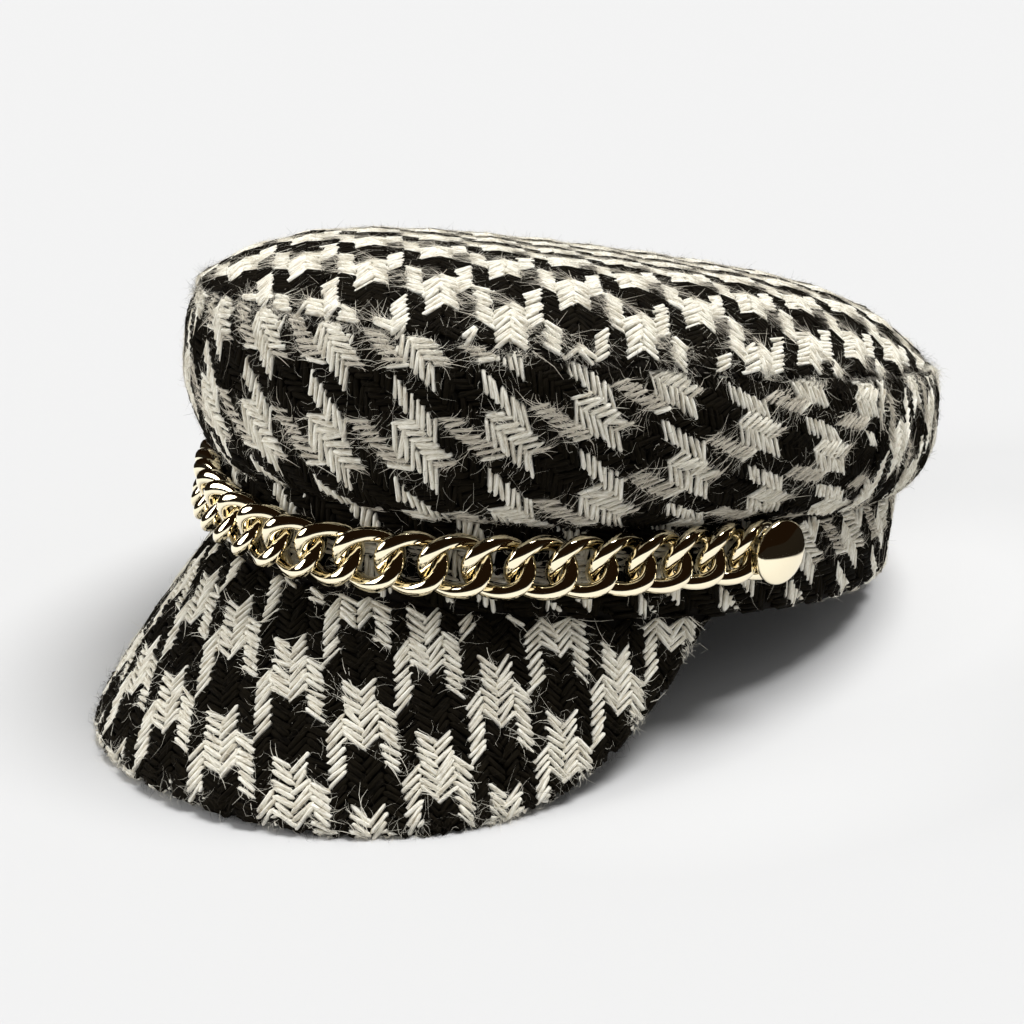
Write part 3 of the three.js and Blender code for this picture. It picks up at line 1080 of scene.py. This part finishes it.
def buildButtons():
    radii, alongs = np.array(button["radii"]), np.array(button["alongs"])
    turns = np.linspace(0, 2 * math.pi, button["sides"], endpoint=False)
    t, k = np.meshgrid(turns, np.arange(1, len(radii) - 1), indexing="ij")
    body = np.stack([radii[k] * np.cos(t), radii[k] * np.sin(t), alongs[k]], -1)
    rows, cols = body.shape[:2]
    shape = np.concatenate([body.reshape(-1, 3), [[0, 0, alongs[0]], [0, 0, alongs[-1]]]])
    foot = fanFaces(rows, cols, 0, len(shape) - 2, True)
    face = fanFaces(rows, cols, cols - 1, len(shape) - 1, False)
    lists = [gridFaces(rows, cols, True, False)[:, ::-1], foot, face]
    for node, angle in (("button_right", -180 - button["angleDeg"]), ("button_left", button["angleDeg"])):
        axes, place = onBand(math.radians(angle), 0.0, button["height"])
        goldPiece(node, shape @ axes.T + place, lists)
    print("buttons: 2")


buildChain()
buildButtons()

# Floor, light and camera
studio = {
    "floorSize": 30,
    "floorRoughness": 0.9,
    "floorColour": (0.58, 0.58, 0.58),
    "paintedLightColour": (0.684, 0.684, 0.684),  # painted light: the floor is paler beside the cap, which lifts the cap's shadow there
    "paintedLightMiddle": (0.072, 0.05, 0.0),
    "paintedLightReach": (0.084, 0.16, 1.0),
    "paintedLightEdge": (0.4, 1.0),
    "paintedReflectionColour": (0.69, 0.69, 0.69),  # painted reflection: the floor as the gold sees it, paler, in an oval
    "paintedReflectionMiddle": (0.0, -0.085, 0.0),
    "paintedReflectionReach": (0.225, 0.195, 1.0),
    "paintedReflectionEdge": (1.0, 1.05),
    "farReflectionColour": (0.01, 0.008, 0.006),  # painted reflection: the floor as the gold sees it past the oval, nearly black
    "skyColour": (1.0, 1.0, 1.0),
    "skyStrength": 0.32,
    "glossSky": 0.011,  # what the gold reflects above the floor
    "glossColour": (1.0, 0.52, 0.24),
    "backdrop": 0.90,
    "keyStrength": 3.58,
    "keyAngleDeg": 30.0,
    "keyAim": (-0.22, -0.31, -1.0),
    "fillStrength": 1.84,
    "fillAngleDeg": 40.0,
    "fillAim": (0.73, 0.645, -0.29),
    "cameraAzimuthDeg": 36.36,
    "cameraElevationDeg": 20.59,
    "cameraRollDeg": -0.376,
    "cameraAim": (-0.01553, 0.01128, 0.02435),
    "cameraDistance": 0.64386,
    "lens": 83.17,
    "sensor": 36,
}


# 0 inside an oval of the floor and 1 outside
def pastOval(nodes, link, place, name):
    oval = nodes.new("ShaderNodeMapping")
    oval.vector_type = "TEXTURE"
    oval.inputs["Location"].default_value = studio[name + "Middle"]
    oval.inputs["Scale"].default_value = studio[name + "Reach"]
    link(place.outputs["Position"], oval.inputs["Vector"])
    far = nodes.new("ShaderNodeVectorMath")
    far.operation = "LENGTH"
    link(oval.outputs["Vector"], far.inputs[0])
    past = nodes.new("ShaderNodeMapRange")
    past.inputs["From Min"].default_value, past.inputs["From Max"].default_value = studio[name + "Edge"]
    link(far.outputs["Value"], past.inputs["Value"])
    return past


def buildFloor():
    bpy.ops.mesh.primitive_plane_add(size=studio["floorSize"], location=(0, 0, 0))
    floor = bpy.context.object
    floor.name = "floor"
    pale = plainMaterial("pale floor", studio["floorColour"], studio["floorRoughness"], 0.0, 0.0)
    nodes, link = pale.node_tree.nodes, pale.node_tree.links.new
    place = nodes.new("ShaderNodeNewGeometry")
    past, paintedLight = [pastOval(nodes, link, place, name) for name in ("paintedReflection", "paintedLight")]
    rays = nodes.new("ShaderNodeLightPath")
    # painted light: a paler floor colour in an oval beside the cap, against the cap's cast shadow
    ground = colourMix(nodes)
    ground.inputs["A"].default_value = (*studio["paintedLightColour"], 1)
    ground.inputs["B"].default_value = (*studio["floorColour"], 1)
    link(paintedLight.outputs["Result"], ground.inputs["Factor"])
    # painted reflection: glossy rays see the floor paler in an oval and nearly black past it
    paintedReflection = colourMix(nodes)
    link(ground.outputs["Result"], paintedReflection.inputs["A"])
    paintedReflection.inputs["B"].default_value = (*studio["paintedReflectionColour"], 1)
    link(rays.outputs["Is Glossy Ray"], paintedReflection.inputs["Factor"])
    dim = mathNode(nodes, "MULTIPLY")
    link(past.outputs["Result"], dim.inputs[0])
    link(rays.outputs["Is Glossy Ray"], dim.inputs[1])
    tone = colourMix(nodes)
    link(paintedReflection.outputs["Result"], tone.inputs["A"])
    tone.inputs["B"].default_value = (*studio["farReflectionColour"], 1)
    link(dim.outputs["Value"], tone.inputs["Factor"])
    link(tone.outputs["Result"], nodes["Principled BSDF"].inputs["Base Color"])
    floor.data.materials.append(pale)
    print("floor ready")


def buildLight(scene):
    world = bpy.data.worlds.new("studio")
    scene.world = world
    world.use_nodes = True
    nodes, link = world.node_tree.nodes, world.node_tree.links.new
    sky = nodes["Background"]
    rays = nodes.new("ShaderNodeLightPath")
    tint = colourMix(nodes)
    tint.inputs["A"].default_value = (*studio["skyColour"], 1)
    tint.inputs["B"].default_value = (*studio["glossColour"], 1)
    link(rays.outputs["Is Glossy Ray"], tint.inputs["Factor"])
    link(tint.outputs["Result"], sky.inputs["Color"])
    level = nodes.new("ShaderNodeMapRange")
    level.inputs["To Min"].default_value = studio["skyStrength"]
    level.inputs["To Max"].default_value = studio["glossSky"]
    link(rays.outputs["Is Glossy Ray"], level.inputs["Value"])
    seen = mathNode(nodes, "MULTIPLY_ADD")
    link(rays.outputs["Is Camera Ray"], seen.inputs[0])
    seen.inputs[1].default_value = studio["backdrop"] - studio["skyStrength"]
    link(level.outputs["Result"], seen.inputs[2])
    link(seen.outputs["Value"], sky.inputs["Strength"])
    for name in ("key", "fill"):
        lamp = bpy.data.lights.new(name, "SUN")
        lamp.energy = studio[name + "Strength"]
        lamp.angle = math.radians(studio[name + "AngleDeg"])
        sun = bpy.data.objects.new(name, lamp)
        sun.rotation_euler = Vector(studio[name + "Aim"]).to_track_quat("-Z", "Y").to_euler()
        scene.collection.objects.link(sun)
    print("sky and two suns ready")


def buildCamera(scene):
    lens = bpy.data.cameras.new("camera")
    lens.lens = studio["lens"]
    lens.sensor_width = studio["sensor"]
    lens.sensor_fit = "HORIZONTAL"
    camera = bpy.data.objects.new("camera", lens)
    az, el = math.radians(studio["cameraAzimuthDeg"]), math.radians(studio["cameraElevationDeg"])
    back = Vector((math.sin(az) * math.cos(el), -math.cos(az) * math.cos(el), math.sin(el)))
    camera.location = Vector(studio["cameraAim"]) + back * studio["cameraDistance"]
    face = back.to_track_quat("Z", "Y").to_matrix().to_4x4()
    roll = Matrix.Rotation(math.radians(studio["cameraRollDeg"]), 4, "Z")
    camera.rotation_euler = (face @ roll).to_euler()
    scene.collection.objects.link(camera)
    scene.camera = camera
    scene.view_settings.view_transform = "Standard"
    print("camera ready")


buildFloor()
buildLight(bpy.context.scene)
buildCamera(bpy.context.scene)
